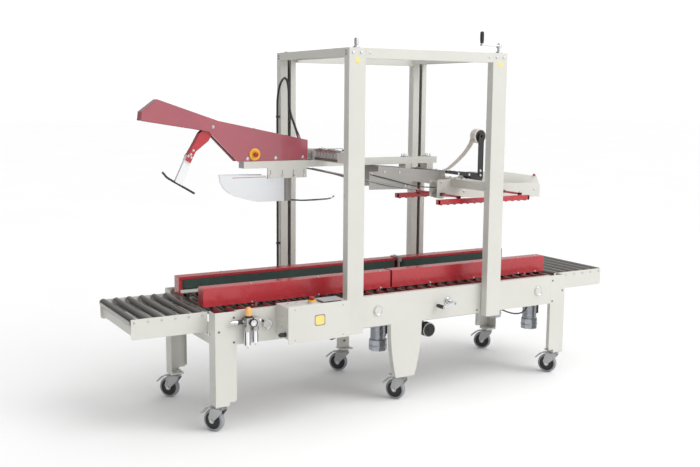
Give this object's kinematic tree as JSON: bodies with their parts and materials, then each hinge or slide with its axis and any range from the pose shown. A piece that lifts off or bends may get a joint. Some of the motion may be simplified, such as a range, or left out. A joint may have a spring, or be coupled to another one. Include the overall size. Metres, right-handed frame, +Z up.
{
  "type": "carton sealer",
  "caption": "Adjustable carton sealing machine: a flap folder and a tape head on a gantry over a roller bed with side drive belts, on locking casters.",
  "frame": {"origin": "floor level, at the middle of the machine's bounding box", "axes": "+X along the carton flow from infeed to outfeed, +Y towards the rear, +Z up; the carton path's centre line is at Y = 0.044"},
  "size_m": [3.072, 0.922, 2.038],
  "materials": {
    "frame_paint": "cream powder coat, satin",
    "red_paint": "dark red powder coat, satin",
    "white_paint": "white powder coat, satin",
    "black_paint": "black powder coat, matt",
    "roller_steel": "oiled conveyor roller steel, semi-gloss",
    "bright_steel": "bright zinc-plated steel",
    "caster_zinc": "zinc-plated pressed steel",
    "caster_tyre": "grey non-marking rubber, matt",
    "belt_rubber": "dark green ribbed drive belt, matt",
    "motor_paint": "die-cast aluminium under thin grey-blue enamel, semi-gloss",
    "button_red": "glossy red push-button plastic",
    "tape": "pale tan packing tape, semi-gloss",
    "black_plastic": "black moulded plastic, matt",
    "black_hose": "black air hose, semi-matt",
    "regulator_metal": "die-cast body with moulded bowls"
  },
  "bodies": {
    "frame": {"bed_side_front": "frame_paint", "bed_side_rear": "frame_paint", "end_frame_infeed": "frame_paint", "end_frame_outfeed": "frame_paint", "infeed_table_frame": "frame_paint", "outfeed_table_frame": "frame_paint", "infeed_rollers": "roller_steel", "outfeed_rollers": "roller_steel", "bed_rollers": "roller_steel", "folder_column_front": "frame_paint", "folder_column_rear": "frame_paint", "tape_column_front": "frame_paint", "tape_column_rear": "frame_paint", "top_frame": "frame_paint", "lower_tape_head": "frame_paint", "control_box": "frame_paint", "control_box_cover": "frame_paint", "filter_regulator": "regulator_metal", "air_hose": "black_hose"},
    "folder": {"folder_carriage": "frame_paint", "folder_housing": "red_paint", "press_plate": "white_paint", "flap_plow": "bright_steel"},
    "folder_screw": {"folder_lift_screw": "bright_steel"},
    "kicker": {"kicker_arm": "red_paint"},
    "folder_stop": {"folder_stop_button": "button_red"},
    "tape_head": {"tape_carriage_beam": "frame_paint", "tape_head_frame": "frame_paint", "tape_roll_bracket": "black_paint", "press_rack_front": "red_paint", "press_rack_rear": "red_paint"},
    "tape_crank": {"tape_lift_crank": "bright_steel"},
    "tape_reel": {"tape_roll": "tape"},
    "lower_reel": {"lower_tape_hub": "black_plastic"},
    "belts_front": {"belt_guard_front_infeed": "red_paint", "belt_guard_front_outfeed": "red_paint", "drive_belt_front_infeed": "belt_rubber", "drive_belt_front_outfeed": "belt_rubber", "gear_motor_front_infeed": "motor_paint", "gear_motor_front_outfeed": "motor_paint"},
    "belts_rear": {"belt_guard_rear_infeed": "red_paint", "belt_guard_rear_outfeed": "red_paint", "drive_belt_rear_infeed": "belt_rubber", "drive_belt_rear_outfeed": "belt_rubber", "gear_motor_rear_infeed": "motor_paint", "gear_motor_rear_outfeed": "motor_paint"},
    "width_handle": {"width_crank": "bright_steel"},
    "box_stop": {"control_box_button": "button_red"},
    "swivel_front_infeed": {"caster_fork_front_infeed": "caster_zinc"},
    "wheel_front_infeed": {"caster_wheel_front_infeed": "caster_tyre"},
    "swivel_front_centre": {"caster_fork_front_centre": "caster_zinc"},
    "wheel_front_centre": {"caster_wheel_front_centre": "caster_tyre"},
    "swivel_front_outfeed": {"caster_fork_front_outfeed": "caster_zinc"},
    "wheel_front_outfeed": {"caster_wheel_front_outfeed": "caster_tyre"},
    "swivel_rear_infeed": {"caster_fork_rear_infeed": "caster_zinc"},
    "wheel_rear_infeed": {"caster_wheel_rear_infeed": "caster_tyre"},
    "swivel_rear_centre": {"caster_fork_rear_centre": "caster_zinc"},
    "wheel_rear_centre": {"caster_wheel_rear_centre": "caster_tyre"},
    "swivel_rear_outfeed": {"caster_fork_rear_outfeed": "caster_zinc"},
    "wheel_rear_outfeed": {"caster_wheel_rear_outfeed": "caster_tyre"}
  },
  "joints": [
    {"name": "folder_lift", "type": "slide", "parent": "frame", "child": "folder", "axis": [0, 0, 1], "range_m": [-0.36, 0.4], "deforming": ["air_hose"]},
    {"name": "folder_screw_turn", "type": "hinge", "parent": "frame", "child": "folder_screw", "pos_m": [-0.369, -0.348, 1], "axis": [0, 0, 1], "continuous": true},
    {"name": "kicker_swing", "type": "hinge", "parent": "folder", "child": "kicker", "pos_m": [-1.006, 0.044, 1.517], "axis": [0, 1, 0], "range_deg": [-12, 38]},
    {"name": "folder_stop_press", "type": "slide", "parent": "folder", "child": "folder_stop", "axis": [0, 1, 0], "range_m": [0, 0.004]},
    {"name": "tape_lift", "type": "slide", "parent": "frame", "child": "tape_head", "axis": [0, 0, 1], "range_m": [-0.33, 0.4]},
    {"name": "tape_crank_turn", "type": "hinge", "parent": "frame", "child": "tape_crank", "pos_m": [0.55, -0.348, 1], "axis": [0, 0, 1], "continuous": true},
    {"name": "tape_reel_turn", "type": "hinge", "parent": "tape_head", "child": "tape_reel", "pos_m": [0.728, 0.044, 1.448], "axis": [0, 1, 0], "continuous": true},
    {"name": "lower_reel_turn", "type": "hinge", "parent": "frame", "child": "lower_reel", "pos_m": [0.38, 0.044, 0.287], "axis": [0, 1, 0], "continuous": true},
    {"name": "width_front", "type": "slide", "parent": "frame", "child": "belts_front", "axis": [0, 1, 0], "range_m": [-0.085, 0.07]},
    {"name": "width_rear", "type": "slide", "parent": "frame", "child": "belts_rear", "axis": [0, 1, 0], "range_m": [-0.07, 0.085]},
    {"name": "width_crank_turn", "type": "hinge", "parent": "frame", "child": "width_handle", "pos_m": [0.262, -0.35, 0.542], "axis": [0, 1, 0], "continuous": true},
    {"name": "box_stop_press", "type": "slide", "parent": "frame", "child": "box_stop", "axis": [0, 0, 1], "range_m": [-0.004, 0]},
    {"name": "caster_swivel_front_infeed", "type": "hinge", "parent": "frame", "child": "swivel_front_infeed", "pos_m": [-1.103, -0.279, 0.13], "axis": [0, 0, 1], "continuous": true},
    {"name": "caster_roll_front_infeed", "type": "hinge", "parent": "swivel_front_infeed", "child": "wheel_front_infeed", "pos_m": [-1.12155, -0.24932, 0.057], "axis": [0.848, 0.5299, 0], "continuous": true},
    {"name": "caster_swivel_front_centre", "type": "hinge", "parent": "frame", "child": "swivel_front_centre", "pos_m": [-0.016, -0.279, 0.13], "axis": [0, 0, 1], "continuous": true},
    {"name": "caster_roll_front_centre", "type": "hinge", "parent": "swivel_front_centre", "child": "wheel_front_centre", "pos_m": [-0.03455, -0.24932, 0.057], "axis": [0.848, 0.5299, 0], "continuous": true},
    {"name": "caster_swivel_front_outfeed", "type": "hinge", "parent": "frame", "child": "swivel_front_outfeed", "pos_m": [1.103, -0.279, 0.13], "axis": [0, 0, 1], "continuous": true},
    {"name": "caster_roll_front_outfeed", "type": "hinge", "parent": "swivel_front_outfeed", "child": "wheel_front_outfeed", "pos_m": [1.08445, -0.24932, 0.057], "axis": [0.848, 0.5299, 0], "continuous": true},
    {"name": "caster_swivel_rear_infeed", "type": "hinge", "parent": "frame", "child": "swivel_rear_infeed", "pos_m": [-1.103, 0.367, 0.13], "axis": [0, 0, 1], "continuous": true},
    {"name": "caster_roll_rear_infeed", "type": "hinge", "parent": "swivel_rear_infeed", "child": "wheel_rear_infeed", "pos_m": [-1.12731, 0.39218, 0.057], "axis": [0.7193, 0.6947, 0], "continuous": true},
    {"name": "caster_swivel_rear_centre", "type": "hinge", "parent": "frame", "child": "swivel_rear_centre", "pos_m": [-0.016, 0.367, 0.13], "axis": [0, 0, 1], "continuous": true},
    {"name": "caster_roll_rear_centre", "type": "hinge", "parent": "swivel_rear_centre", "child": "wheel_rear_centre", "pos_m": [-0.04031, 0.39218, 0.057], "axis": [0.7193, 0.6947, 0], "continuous": true},
    {"name": "caster_swivel_rear_outfeed", "type": "hinge", "parent": "frame", "child": "swivel_rear_outfeed", "pos_m": [1.103, 0.367, 0.13], "axis": [0, 0, 1], "continuous": true},
    {"name": "caster_roll_rear_outfeed", "type": "hinge", "parent": "swivel_rear_outfeed", "child": "wheel_rear_outfeed", "pos_m": [1.07869, 0.39218, 0.057], "axis": [0.7193, 0.6947, 0], "continuous": true}
  ],
  "couplings": [
    {"joint": "folder_screw_turn", "follows": "folder_lift", "rad_per_m": 314.16},
    {"joint": "tape_crank_turn", "follows": "tape_lift", "rad_per_m": 314.16},
    {"joint": "width_rear", "follows": "width_front", "ratio": -1},
    {"joint": "width_crank_turn", "follows": "width_front", "rad_per_m": 314.16}
  ]
}
